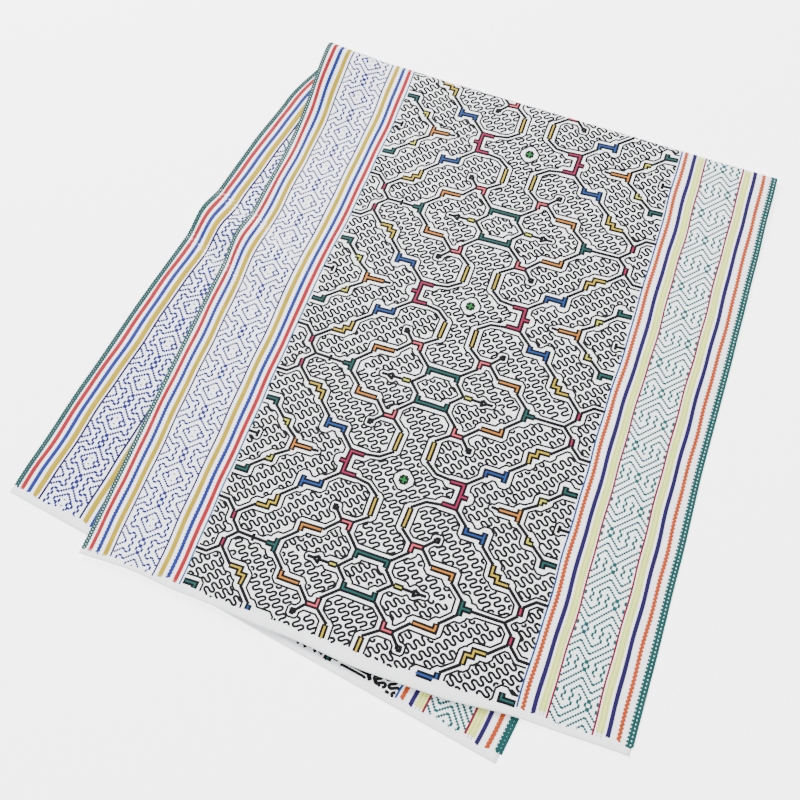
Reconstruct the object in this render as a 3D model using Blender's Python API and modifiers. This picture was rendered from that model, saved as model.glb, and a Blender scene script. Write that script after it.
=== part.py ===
"""Embroidered cotton panel, folded once and laid flat.

One length of cloth, embroidered side out, lies folded a few degrees off square,
so its lower layer fans out past the left side and the front of the upper one.
The cloth is one piece with a turned hem at each end. Its right side is drawn as
a surface in flat cloth sizes, laid over the fold, and then given its thickness.

Axes: +X across the cloth to the right, +Y along it towards the fold, +Z up.
The origin is at the middle of the panel, on the surface that it lies on.
"""
import math
from typing import NamedTuple

import bpy

PART_NAME = "embroidered_cloth_panel"
NODE_NAME = "cloth_panel"

# Driving sizes of the cloth, flat, in metres
WIDTH = 0.620
LENGTH = 1.490
THICKNESS = 0.0013
HEM_DEPTH = 0.0070
HEM_THICKNESS = 0.0022
HEM_STEP = 0.0012

# How the cloth is folded
FOLD_REACH = 0.7385
FOLD_ANGLE = math.radians(4.3)
LAYER_GAP = 0.0016
SETTLE_LENGTH = 0.150

# How far the upper layer runs past an edge of the lower one before and while it sinks
OVERHANG_START = 0.008
OVERHANG_LENGTH = 0.045

# How far back from the front hem its lift reaches
FRONT_LIFT_LENGTH = 0.070

# Points across the cloth, and rows along it in each stretch
COLUMNS = 22
ROWS_HEM = 1
ROWS_UPPER = 31
ROWS_FOLD = 12
ROWS_LOWER = 30

COTTON_COLOUR = (0.86, 0.87, 0.90, 1.0)
COTTON_ROUGHNESS = 0.92


class Loop(NamedTuple):
    """Height of the soft fold at one place across the cloth."""
    across: float
    height: float


class Drift(NamedTuple):
    """Sideways drift of the cloth's edges at one distance from the front hem."""
    from_hem: float
    upper_left: float
    upper_right: float
    lower_left: float
    lower_right: float


class HemBulge(NamedTuple):
    """How far the upper front hem bulges past square at one place across the cloth."""
    across: float
    reach: float


class Ridge(NamedTuple):
    """Soft ridge from its high end to the end where it dies out."""
    high_x: float
    high_y: float
    low_x: float
    low_y: float
    rise: float
    half_width: float


class Lift(NamedTuple):
    """Lift of the upper front hem at one place across the cloth."""
    across: float
    rise: float


FOLD_LOOPS = (
    Loop(across=-0.310, height=0.0340),
    Loop(across=-0.270, height=0.0225),
    Loop(across=-0.220, height=0.0110),
    Loop(across=-0.140, height=0.0070),
    Loop(across=0.000, height=0.0070),
    Loop(across=0.160, height=0.0068),
    Loop(across=0.310, height=0.0082),
)

EDGE_DRIFTS = (
    Drift(from_hem=0.000, upper_left=0.0030, upper_right=0.0050, lower_left=0.0000, lower_right=0.0000),
    Drift(from_hem=0.090, upper_left=0.0010, upper_right=0.0046, lower_left=-0.0050, lower_right=0.0000),
    Drift(from_hem=0.200, upper_left=0.0000, upper_right=0.0030, lower_left=-0.0090, lower_right=0.0000),
    Drift(from_hem=0.330, upper_left=0.0000, upper_right=0.0000, lower_left=-0.0120, lower_right=0.0000),
    Drift(from_hem=0.435, upper_left=0.0010, upper_right=0.0000, lower_left=-0.0115, lower_right=0.0000),
    Drift(from_hem=0.500, upper_left=0.0055, upper_right=-0.0010, lower_left=-0.0130, lower_right=0.0000),
    Drift(from_hem=0.580, upper_left=0.0085, upper_right=-0.0022, lower_left=-0.0130, lower_right=-0.0010),
    Drift(from_hem=0.660, upper_left=0.0110, upper_right=-0.0042, lower_left=-0.0090, lower_right=-0.0036),
    Drift(from_hem=0.765, upper_left=0.0095, upper_right=-0.0060, lower_left=0.0095, lower_right=-0.0060),
)
LEFT_DRIFT_REACH = 0.310
RIGHT_DRIFT_REACH = 0.187

RIDGES = (
    Ridge(high_x=-0.395, high_y=0.482, low_x=-0.100, low_y=0.324, rise=0.0105, half_width=0.040),
)

HEM_BULGES = (
    HemBulge(across=-0.310, reach=-0.0030),
    HemBulge(across=-0.250, reach=-0.0045),
    HemBulge(across=-0.180, reach=0.0000),
    HemBulge(across=-0.060, reach=0.0050),
    HemBulge(across=0.040, reach=0.0110),
    HemBulge(across=0.110, reach=0.0100),
    HemBulge(across=0.200, reach=0.0020),
    HemBulge(across=0.310, reach=0.0000),
)

FRONT_LIFTS = (
    Lift(across=-0.310, rise=0.0024),
    Lift(across=-0.120, rise=0.0032),
    Lift(across=0.080, rise=0.0024),
    Lift(across=0.200, rise=0.0008),
    Lift(across=0.310, rise=0.0004),
)


def ease(t: float) -> float:
    """Smooth step from 0 at t = 0 to 1 at t = 1."""
    t = min(max(t, 0.0), 1.0)
    return t * t * (3.0 - 2.0 * t)


def read_table(rows: tuple, key: str, column: str, at: float) -> float:
    """Value of one column of a table at a key value, with soft steps between its rows."""
    value = getattr(rows[0], column)
    for low, high in zip(rows, rows[1:]):
        span = getattr(high, key) - getattr(low, key)
        share = ease((at - getattr(low, key)) / span)
        value += share * (getattr(high, column) - getattr(low, column))
    return value


def crease_at(across: float) -> float:
    """Flat distance from the front hem to the middle of the fold."""
    return FOLD_REACH - across * math.tan(FOLD_ANGLE)


def loop_radius(across: float) -> float:
    """Outer radius of the soft fold."""
    return 0.5 * read_table(FOLD_LOOPS, "across", "height", across)


def front_end(across: float) -> float:
    """Flat distance at which the cloth ends in its upper front hem."""
    return -read_table(HEM_BULGES, "across", "reach", across)


def thickness_at(across: float, along: float) -> float:
    """Thickness of the cloth: the turned hems at its two ends are thicker."""
    from_end = min(along - front_end(across), LENGTH - along)
    share = ease((from_end - HEM_DEPTH) / HEM_STEP)
    return HEM_THICKNESS + share * (THICKNESS - HEM_THICKNESS)


def mirror_in_fold(x: float, y: float) -> tuple[float, float]:
    """Mirror image of a place in the line of the fold."""
    past = (y - FOLD_REACH) * math.cos(FOLD_ANGLE) + x * math.sin(FOLD_ANGLE)
    return x - 2.0 * past * math.sin(FOLD_ANGLE), y - 2.0 * past * math.cos(FOLD_ANGLE)


def support_under(x: float, y: float) -> float:
    """1 where the upper layer lies on the lower one, easing to 0 past its edges."""
    across, along = mirror_in_fold(x, y)
    overhang = max(across - 0.5 * WIDTH, along - LENGTH)
    return 1.0 - ease((overhang - OVERHANG_START) / OVERHANG_LENGTH)


def ridge_height(x: float, y: float) -> float:
    """Height that the soft ridges add to both layers at a place."""
    height = 0.0
    for ridge in RIDGES:
        run_x, run_y = ridge.low_x - ridge.high_x, ridge.low_y - ridge.high_y
        length = math.hypot(run_x, run_y)
        off_x, off_y = x - ridge.high_x, y - ridge.high_y
        share = (off_x * run_x + off_y * run_y) / length ** 2
        sideways = (off_x * run_y - off_y * run_x) / length
        crest = ridge.rise * (1.0 - ease(share))
        height += crest * (1.0 - ease(abs(sideways) / ridge.half_width))
    return height


def edge_drift(across: float, y: float, layer: str) -> float:
    """Sideways drift of a place on one layer: full at its edge, none at its middle."""
    side, reach = ("left", LEFT_DRIFT_REACH) if across < 0.0 else ("right", RIGHT_DRIFT_REACH)
    drift = read_table(EDGE_DRIFTS, "from_hem", f"{layer}_{side}", y)
    return drift * min(1.0, abs(across) / reach)


def lay(across: float, along: float) -> tuple[float, float, float]:
    """Place of a point of the right side of the cloth, given in flat cloth sizes."""
    past = (along - crease_at(across)) * math.cos(FOLD_ANGLE)
    radius = loop_radius(across)
    half_arc = 0.5 * math.pi * radius
    if abs(past) < half_arc:
        turn = past / radius
        from_crease = half_arc - radius * math.cos(turn)
        height = radius - radius * math.sin(turn)
    else:
        from_crease = abs(past)
        height = 0.0

    # Foot of the point on the fold line, then out from the fold towards the front
    foot_x = across - past * math.sin(FOLD_ANGLE)
    foot_y = along - past * math.cos(FOLD_ANGLE)
    x = foot_x - from_crease * math.sin(FOLD_ANGLE)
    y = foot_y - from_crease * math.cos(FOLD_ANGLE)

    if past <= -half_arc:
        resting = thickness_at(across, along) + (THICKNESS + LAYER_GAP) * support_under(x, y)
        settled = ease((from_crease - half_arc) / SETTLE_LENGTH)
        height = 2.0 * radius + settled * (resting - 2.0 * radius)
        lift = read_table(FRONT_LIFTS, "across", "rise", across)
        height += lift * (1.0 - ease(along / FRONT_LIFT_LENGTH))
    x += edge_drift(across, y, "upper" if past <= 0.0 else "lower")
    return x, y, height + ridge_height(x, y)


def row_places(across: float) -> list[float]:
    """Flat distances from the front hem of the rows of points in one column."""
    half_arc = 0.5 * math.pi * loop_radius(across) / math.cos(FOLD_ANGLE)
    crease = crease_at(across)
    front = front_end(across)
    hem_inner = HEM_DEPTH + HEM_STEP
    stretches = (
        (front, front + HEM_DEPTH, ROWS_HEM),
        (front + HEM_DEPTH, front + hem_inner, ROWS_HEM),
        (front + hem_inner, crease - half_arc, ROWS_UPPER),
        (crease - half_arc, crease + half_arc, ROWS_FOLD),
        (crease + half_arc, LENGTH - hem_inner, ROWS_LOWER),
        (LENGTH - hem_inner, LENGTH - HEM_DEPTH, ROWS_HEM),
        (LENGTH - HEM_DEPTH, LENGTH, ROWS_HEM),
    )
    places = [front]
    for start, end, rows in stretches:
        places += [start + (end - start) * (row + 1) / rows for row in range(rows)]
    return places


def cotton() -> bpy.types.Material:
    """White cotton ground."""
    material = bpy.data.materials.new("white_cotton")
    material.use_nodes = True
    shader = material.node_tree.nodes["Principled BSDF"]
    shader.inputs["Base Color"].default_value = COTTON_COLOUR
    shader.inputs["Roughness"].default_value = COTTON_ROUGHNESS
    shader.inputs["Metallic"].default_value = 0.0
    return material


def build_cloth() -> bpy.types.Object:
    """The folded cloth: a grid in flat cloth sizes, laid over its fold and thickened."""
    rows = len(row_places(0.0)) - 1
    bpy.ops.mesh.primitive_grid_add(x_subdivisions=COLUMNS, y_subdivisions=rows, size=1.0)
    cloth = bpy.context.object
    cloth.name = NODE_NAME
    mesh = cloth.data
    mesh.name = NODE_NAME

    weights = cloth.vertex_groups.new(name="thickness")
    for vertex in mesh.vertices:
        across = WIDTH * vertex.co.x
        along = row_places(across)[round((vertex.co.y + 0.5) * rows)]
        weights.add([vertex.index], thickness_at(across, along) / HEM_THICKNESS, "REPLACE")
        vertex.co = lay(across, along)

    # Bring the middle of the panel over the origin
    for axis in (0, 1):
        places = [vertex.co[axis] for vertex in mesh.vertices]
        middle = 0.5 * (min(places) + max(places))
        for vertex in mesh.vertices:
            vertex.co[axis] -= middle

    solidify = cloth.modifiers.new("thickness", "SOLIDIFY")
    solidify.thickness = HEM_THICKNESS
    solidify.offset = -1.0
    solidify.vertex_group = weights.name
    mesh.materials.append(cotton())
    mesh.shade_smooth()
    return cloth


def main() -> None:
    """Clear the scene and build the part in its own collection."""
    for leftover in list(bpy.data.objects):
        bpy.data.objects.remove(leftover, do_unlink=True)
    parts = bpy.data.collections.new(PART_NAME)
    bpy.context.scene.collection.children.link(parts)
    cloth = build_cloth()
    for home in list(cloth.users_collection):
        home.objects.unlink(cloth)
    parts.objects.link(cloth)


main()
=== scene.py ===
"""Embroidered cotton panel, folded once and laid flat: its cloth, its stitching and a plain studio.

Stitches are charted in repeats of the pattern, turned into flat cloth sizes
and laid over the same fold as the cloth. Axes: +X across, +Y towards the fold, +Z up.
"""
from __future__ import annotations

import logging
import math
from dataclasses import dataclass, field
from enum import Enum
from typing import NamedTuple

import bpy
import numpy as np
from mathutils import Matrix, Vector

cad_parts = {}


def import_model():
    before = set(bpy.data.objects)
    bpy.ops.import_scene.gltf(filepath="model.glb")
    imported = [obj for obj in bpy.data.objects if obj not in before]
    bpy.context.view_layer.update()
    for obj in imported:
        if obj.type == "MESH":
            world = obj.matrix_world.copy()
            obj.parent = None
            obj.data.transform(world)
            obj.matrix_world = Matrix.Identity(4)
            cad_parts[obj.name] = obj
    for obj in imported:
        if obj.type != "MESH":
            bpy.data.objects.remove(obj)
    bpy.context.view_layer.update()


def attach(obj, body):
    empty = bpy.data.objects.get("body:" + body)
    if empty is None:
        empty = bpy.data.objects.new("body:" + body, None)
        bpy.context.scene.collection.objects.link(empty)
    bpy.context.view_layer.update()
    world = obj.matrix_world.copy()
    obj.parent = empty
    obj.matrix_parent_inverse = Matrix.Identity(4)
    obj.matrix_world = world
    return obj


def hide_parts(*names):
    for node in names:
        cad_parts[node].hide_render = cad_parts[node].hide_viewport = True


LOG = logging.getLogger("panel")

BODY = "root"
NODE = "cloth_panel"

# One repeat of the pattern along the cloth, and where its middle and one cross lie on the cloth
REPEAT = 0.2316
CENTRE_ACROSS = 0.0052
CROSS_ROW = 2.862
FIELD_AXIS = -0.008


class Loop(NamedTuple):
    """Height of the soft fold at one place across the cloth."""
    across: float
    height: float


class Drift(NamedTuple):
    """Sideways drift of the cloth's edges at one distance from the front hem."""
    from_hem: float
    upper_left: float
    upper_right: float
    lower_left: float
    lower_right: float


class HemBulge(NamedTuple):
    """How far the upper front hem bulges past square at one place across the cloth."""
    across: float
    reach: float


class Ridge(NamedTuple):
    """Soft ridge from its high end to the end where it dies out."""
    high_x: float
    high_y: float
    low_x: float
    low_y: float
    rise: float
    half_width: float


class Lift(NamedTuple):
    """Lift of the upper front hem at one place across the cloth."""
    across: float
    rise: float


FOLD_LOOPS = (
    Loop(-0.310, 0.0340), Loop(-0.270, 0.0225), Loop(-0.220, 0.0110), Loop(-0.140, 0.0070),
    Loop(0.000, 0.0070), Loop(0.160, 0.0068), Loop(0.310, 0.0082),
)

EDGE_DRIFTS = (
    Drift(0.000, 0.0030, 0.0050, 0.0000, 0.0000),
    Drift(0.090, 0.0010, 0.0046, -0.0050, 0.0000),
    Drift(0.200, 0.0000, 0.0030, -0.0090, 0.0000),
    Drift(0.330, 0.0000, 0.0000, -0.0120, 0.0000),
    Drift(0.435, 0.0010, 0.0000, -0.0115, 0.0000),
    Drift(0.500, 0.0055, -0.0010, -0.0130, 0.0000),
    Drift(0.580, 0.0085, -0.0022, -0.0130, -0.0010),
    Drift(0.660, 0.0110, -0.0042, -0.0090, -0.0036),
    Drift(0.765, 0.0095, -0.0060, 0.0095, -0.0060),
)

RIDGES = (Ridge(-0.395, 0.482, -0.100, 0.324, 0.0105, 0.040),)

HEM_BULGES = (
    HemBulge(-0.310, -0.0030), HemBulge(-0.250, -0.0045), HemBulge(-0.180, 0.0000),
    HemBulge(-0.060, 0.0050), HemBulge(0.040, 0.0110), HemBulge(0.110, 0.0100),
    HemBulge(0.200, 0.0020), HemBulge(0.310, 0.0000),
)

FRONT_LIFTS = (
    Lift(-0.310, 0.0024), Lift(-0.120, 0.0032), Lift(0.080, 0.0024), Lift(0.200, 0.0008), Lift(0.310, 0.0004),
)


def ease(t: np.ndarray) -> np.ndarray:
    """Smooth step from 0 at t = 0 to 1 at t = 1."""
    t = np.clip(t, 0.0, 1.0)
    return t * t * (3.0 - 2.0 * t)


def read_table(rows: tuple, key: str, column: str, at: np.ndarray) -> np.ndarray:
    """Values of one column of a table at key values, with soft steps between its rows.

    Args:
        rows: rows of the table, in order of their key.
        key: name of the key column.
        column: name of the column that is read.
        at: key values to read at.

    Returns:
        One value for each of the key values.
    """
    keys = np.array([getattr(row, key) for row in rows])
    values = np.array([getattr(row, column) for row in rows])
    low = np.clip(np.searchsorted(keys, at) - 1, 0, len(keys) - 2)
    share = ease((at - keys[low]) / (keys[low + 1] - keys[low]))
    return values[low] + share * (values[low + 1] - values[low])


@dataclass
class FoldedCloth:
    """The cotton itself: flat sizes, how it lies folded, and its thin closed sheet."""

    width: float = 0.620
    length: float = 1.490
    thickness: float = 0.0013
    hem_depth: float = 0.0070
    hem_thickness: float = 0.0022
    hem_step: float = 0.0012
    fold_reach: float = 0.7385
    fold_angle: float = math.radians(4.3)
    layer_gap: float = 0.0016
    settle_length: float = 0.150
    overhang_start: float = 0.008
    overhang_length: float = 0.045
    front_lift_length: float = 0.070
    left_drift_reach: float = 0.310
    right_drift_reach: float = 0.187
    thread_room: float = 0.0003
    pucker_rise: float = 0.0003
    columns: int = 104
    rows_upper: int = 118
    rows_fold: int = 20
    rows_lower: int = 112
    middle: np.ndarray = field(init=False)

    def __post_init__(self) -> None:
        """Find the middle of the folded panel's box, which the origin lies under."""
        self.middle = np.zeros(3)
        across = np.linspace(-0.5 * self.width, 0.5 * self.width, 22)
        grid = np.array([[(a, b) for b in self.row_places(a)] for a in across]).reshape(-1, 2)
        laid = self.lay(grid[:, 0], grid[:, 1])
        middle = 0.5 * (laid.min(axis=0) + laid.max(axis=0))
        self.middle = np.array([middle[0], middle[1], 0.0])

    def thickness_at(self, across: np.ndarray, along: np.ndarray) -> np.ndarray:
        """Thickness of the embroidered cloth, more at its two turned hems."""
        front = -read_table(HEM_BULGES, "across", "reach", across)
        from_end = np.minimum(along - front, self.length - along)
        share = ease((from_end - self.hem_depth) / self.hem_step)
        return self.hem_thickness + share * (self.thickness - self.hem_thickness)

    def mirror_in_fold(self, x: np.ndarray, y: np.ndarray) -> tuple[np.ndarray, np.ndarray]:
        """Mirror image of places in the line of the fold."""
        past = (y - self.fold_reach) * math.cos(self.fold_angle) + x * math.sin(self.fold_angle)
        return x - 2.0 * past * math.sin(self.fold_angle), y - 2.0 * past * math.cos(self.fold_angle)

    def support_under(self, x: np.ndarray, y: np.ndarray) -> np.ndarray:
        """1 where the upper layer lies on the lower one, easing to 0 past its edges."""
        across, along = self.mirror_in_fold(x, y)
        overhang = np.maximum(across - 0.5 * self.width, along - self.length)
        return 1.0 - ease((overhang - self.overhang_start) / self.overhang_length)

    def ridge_height(self, x: np.ndarray, y: np.ndarray) -> np.ndarray:
        """Height that the soft ridges add to both layers."""
        height = np.zeros_like(x)
        for ridge in RIDGES:
            run_x, run_y = ridge.low_x - ridge.high_x, ridge.low_y - ridge.high_y
            length = math.hypot(run_x, run_y)
            off_x, off_y = x - ridge.high_x, y - ridge.high_y
            share = (off_x * run_x + off_y * run_y) / length ** 2
            sideways = (off_x * run_y - off_y * run_x) / length
            crest = ridge.rise * (1.0 - ease(share))
            height += crest * (1.0 - ease(np.abs(sideways) / ridge.half_width))
        return height

    def edge_drift(self, across: np.ndarray, y: np.ndarray, layer: str) -> np.ndarray:
        """Sideways drift of one layer: full at its edge, none at its middle."""
        left = read_table(EDGE_DRIFTS, "from_hem", f"{layer}_left", y)
        right = read_table(EDGE_DRIFTS, "from_hem", f"{layer}_right", y)
        share_left = np.minimum(1.0, np.abs(across) / self.left_drift_reach)
        share_right = np.minimum(1.0, np.abs(across) / self.right_drift_reach)
        return np.where(across < 0.0, left * share_left, right * share_right)

    def pucker(self, across: np.ndarray, along: np.ndarray) -> np.ndarray:
        """Slight quilting of the cloth between its lines of stitches."""
        waves = np.sin(61.0 * across + 23.0 * along) * np.sin(17.0 * across - 71.0 * along + 1.3)
        fine = np.sin(151.0 * across - 90.0 * along + 0.7) * np.sin(83.0 * across + 137.0 * along)
        return self.pucker_rise * (1.0 + 0.7 * waves + 0.3 * fine)

    def lay(self, across: np.ndarray, along: np.ndarray) -> np.ndarray:
        """Places of the right side of the cloth.

        Args:
            across: flat distances from the middle of the width.
            along: flat distances from the front hem.

        Returns:
            One row of x, y and z for each point.
        """
        sin_a, cos_a = math.sin(self.fold_angle), math.cos(self.fold_angle)
        past = (along - self.fold_reach + across * math.tan(self.fold_angle)) * cos_a
        radius = 0.5 * read_table(FOLD_LOOPS, "across", "height", across)
        half_arc = 0.5 * math.pi * radius
        turning = np.abs(past) < half_arc
        turn = np.clip(past / radius, -0.5 * math.pi, 0.5 * math.pi)
        from_crease = np.where(turning, half_arc - radius * np.cos(turn), np.abs(past))
        height = np.where(turning, radius - radius * np.sin(turn), 0.0)
        x = across - (past + from_crease) * sin_a
        y = along - (past + from_crease) * cos_a

        upper = past <= -half_arc
        resting = self.thickness_at(across, along)
        resting = resting + (self.thickness + self.layer_gap) * self.support_under(x, y)
        settled = ease((from_crease - half_arc) / self.settle_length)
        raised = 2.0 * radius + settled * (resting - 2.0 * radius)
        front_rise = read_table(FRONT_LIFTS, "across", "rise", across)
        raised += front_rise * (1.0 - ease(along / self.front_lift_length))
        raised += self.pucker(across, along) * settled
        height = np.where(upper, raised, height) + self.ridge_height(x, y)
        drift_upper, drift_lower = self.edge_drift(across, y, "upper"), self.edge_drift(across, y, "lower")
        x = x + np.where(past <= 0.0, drift_upper, drift_lower)
        return np.stack([x, y, height], axis=1) - self.middle

    def place(self, across: np.ndarray, along: np.ndarray, lift: np.ndarray,
              wrong_side: bool = False) -> np.ndarray:
        """Places at a height above one side of the cloth.

        Args:
            across: flat distances from the middle of the width.
            along: flat distances from the front hem.
            lift: heights above the cloth's surface on that side.
            wrong_side: True for the side that lies inside the fold.

        Returns:
            One row of x, y and z for each point.
        """
        reach = 0.0005
        over = self.lay(across + reach, along) - self.lay(across - reach, along)
        onward = self.lay(across, along + reach) - self.lay(across, along - reach)
        normal = np.cross(over, onward)
        normal /= np.linalg.norm(normal, axis=1)[:, None]
        if wrong_side:
            depth = self.thickness_at(across, along) - self.thread_room
            return self.lay(across, along) - normal * (depth + lift)[:, None]
        return self.lay(across, along) + normal * (lift - self.thread_room)[:, None]

    def row_places(self, across: float) -> np.ndarray:
        """Flat distances from the front hem of the rows of points in one column."""
        half_arc = 0.25 * math.pi * read_table(FOLD_LOOPS, "across", "height", np.array([across]))[0]
        half_arc /= math.cos(self.fold_angle)
        crease = self.fold_reach - across * math.tan(self.fold_angle)
        front = -read_table(HEM_BULGES, "across", "reach", np.array([across]))[0]
        hem_inner = self.hem_depth + self.hem_step
        stretches = (
            (front, front + self.hem_depth, 3),
            (front + self.hem_depth, front + hem_inner, 2),
            (front + hem_inner, crease - half_arc, self.rows_upper),
            (crease - half_arc, crease + half_arc, self.rows_fold),
            (crease + half_arc, self.length - hem_inner, self.rows_lower),
            (self.length - hem_inner, self.length - self.hem_depth, 2),
            (self.length - self.hem_depth, self.length, 3),
        )
        places = [np.array([front])]
        for start, end, rows in stretches:
            places.append(np.linspace(start, end, rows + 1)[1:])
        return np.concatenate(places)

    def build(self, name: str, finish: CottonFinish) -> bpy.types.Object:
        """Build the thin closed sheet.

        Args:
            name: name of the piece.
            finish: finish of the cotton.

        Returns:
            The sheet's object.
        """
        across = np.linspace(-0.5 * self.width, 0.5 * self.width, self.columns + 1)
        along = np.array([self.row_places(place) for place in across])
        rows = along.shape[1]
        flat = np.stack([np.repeat(across, rows), along.ravel()], axis=1)
        none = np.zeros(len(flat))
        right = self.place(flat[:, 0], flat[:, 1], none)
        wrong = self.place(flat[:, 0], flat[:, 1], none, wrong_side=True)
        points = np.concatenate([right, wrong])

        index = np.arange(len(flat)).reshape(self.columns + 1, rows)
        a, b = index[:-1, :-1].ravel(), index[1:, :-1].ravel()
        c, d = index[1:, 1:].ravel(), index[:-1, 1:].ravel()
        shift = len(flat)
        faces = [np.stack([a, b, c, d], axis=1), np.stack([d, c, b, a], axis=1) + shift]
        rims = (index[0, ::-1], index[-1, :], index[:, 0], index[::-1, -1])
        for rim in rims:
            near, far = rim[:-1], rim[1:]
            faces.append(np.stack([near, near + shift, far + shift, far], axis=1))
        faces = np.concatenate(faces)

        uv = np.stack([flat[:, 0] / self.width + 0.5, flat[:, 1] / self.length], axis=1)
        uv = np.clip(uv, -0.01, 1.0) * 0.97 + 0.015
        both = np.concatenate([uv * (0.5, 1.0), uv * (0.5, 1.0) + (0.5, 0.0)])
        return make_piece(name, points, faces, both, (finish.material(),), None)


def make_piece(name: str, points: np.ndarray, faces: np.ndarray, uv: np.ndarray,
               materials: tuple, face_materials: np.ndarray | None) -> bpy.types.Object:
    """Make one smooth mesh piece that rides on the panel's body.

    Args:
        name: name of the piece.
        points: one row of x, y and z for each point.
        faces: one row of four point numbers for each face.
        uv: flat cloth coordinates of the points, from 0 to 1.
        materials: the piece's materials.
        face_materials: number of the material of each face, or None for the first.

    Returns:
        The piece's object.
    """
    mesh = bpy.data.meshes.new(name)
    mesh.from_pydata(points.tolist(), [], faces.tolist())
    layer = mesh.uv_layers.new(name="OFBake")
    corners = np.empty(len(mesh.loops), dtype=np.int32)
    mesh.loops.foreach_get("vertex_index", corners)
    layer.data.foreach_set("uv", uv[corners].astype(np.float32).ravel())
    for material in materials:
        mesh.materials.append(material)
    if face_materials is not None:
        mesh.polygons.foreach_set("material_index", face_materials.astype(np.int32))
    mesh.shade_smooth()
    mesh.update()
    piece = bpy.data.objects.new(name, mesh)
    bpy.context.scene.collection.objects.link(piece)
    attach(piece, BODY)
    return piece


def fibre_group() -> bpy.types.ShaderNodeTree:
    """Shader group of fibre colour and relief, shared by the cotton and the threads.

    Returns:
        The group: from Colour, Unevenness and Scale to Colour and Height.
    """
    found = bpy.data.node_groups.get("fibre")
    if found:
        return found
    group = bpy.data.node_groups.new("fibre", "ShaderNodeTree")
    sockets = (("Colour", "INPUT", "NodeSocketColor"), ("Unevenness", "INPUT", "NodeSocketFloat"),
               ("Scale", "INPUT", "NodeSocketFloat"), ("Colour", "OUTPUT", "NodeSocketColor"),
               ("Height", "OUTPUT", "NodeSocketFloat"))
    for name, way, kind in sockets:
        group.interface.new_socket(name=name, in_out=way, socket_type=kind)
    nodes, links = group.nodes, group.links
    start, end = nodes.new("NodeGroupInput"), nodes.new("NodeGroupOutput")
    place = nodes.new("ShaderNodeTexCoord")
    coarse, fine = nodes.new("ShaderNodeTexNoise"), nodes.new("ShaderNodeTexNoise")
    coarse.inputs["Scale"].default_value = 55.0
    coarse.inputs["Detail"].default_value = 4.0
    links.new(place.outputs["Object"], coarse.inputs["Vector"])
    links.new(place.outputs["Object"], fine.inputs["Vector"])
    links.new(start.outputs["Scale"], fine.inputs["Scale"])
    mixed = nodes.new("ShaderNodeMath")
    mixed.operation = "ADD"
    links.new(coarse.outputs["Fac"], mixed.inputs[0])
    links.new(fine.outputs["Fac"], mixed.inputs[1])
    centred = nodes.new("ShaderNodeMath")
    centred.operation = "SUBTRACT"
    centred.inputs[1].default_value = 1.0
    links.new(mixed.outputs[0], centred.inputs[0])
    scaled = nodes.new("ShaderNodeMath")
    scaled.operation = "MULTIPLY_ADD"
    scaled.inputs[2].default_value = 1.0
    links.new(centred.outputs[0], scaled.inputs[0])
    links.new(start.outputs["Unevenness"], scaled.inputs[1])
    shade = nodes.new("ShaderNodeHueSaturation")
    links.new(scaled.outputs[0], shade.inputs["Value"])
    links.new(start.outputs["Colour"], shade.inputs["Color"])
    links.new(shade.outputs["Color"], end.inputs["Colour"])
    links.new(fine.outputs["Fac"], end.inputs["Height"])
    return group


@dataclass(frozen=True)
class ThreadFinish:
    """One colour of embroidery thread."""

    name: str
    colour: tuple[float, float, float]
    roughness: float = 0.62
    unevenness: float = 0.45
    sheen: float = 0.03
    gloss: float = 0.16

    def material(self) -> bpy.types.Material:
        """The thread's material, made once."""
        found = bpy.data.materials.get(self.name)
        if found:
            return found
        material = bpy.data.materials.new(self.name)
        material.use_nodes = True
        nodes, links = material.node_tree.nodes, material.node_tree.links
        shader = nodes["Principled BSDF"]
        shader.inputs["Roughness"].default_value = self.roughness
        shader.inputs["Sheen Weight"].default_value = self.sheen
        shader.inputs["Specular IOR Level"].default_value = self.gloss
        fibre = nodes.new("ShaderNodeGroup")
        fibre.node_tree = fibre_group()
        fibre.inputs["Colour"].default_value = (*self.colour, 1.0)
        fibre.inputs["Unevenness"].default_value = self.unevenness
        fibre.inputs["Scale"].default_value = 900.0
        bump = nodes.new("ShaderNodeBump")
        bump.inputs["Strength"].default_value = 0.35
        bump.inputs["Distance"].default_value = 0.0002
        links.new(fibre.outputs["Colour"], shader.inputs["Base Color"])
        links.new(fibre.outputs["Height"], bump.inputs["Height"])
        links.new(bump.outputs["Normal"], shader.inputs["Normal"])
        return material


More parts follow.
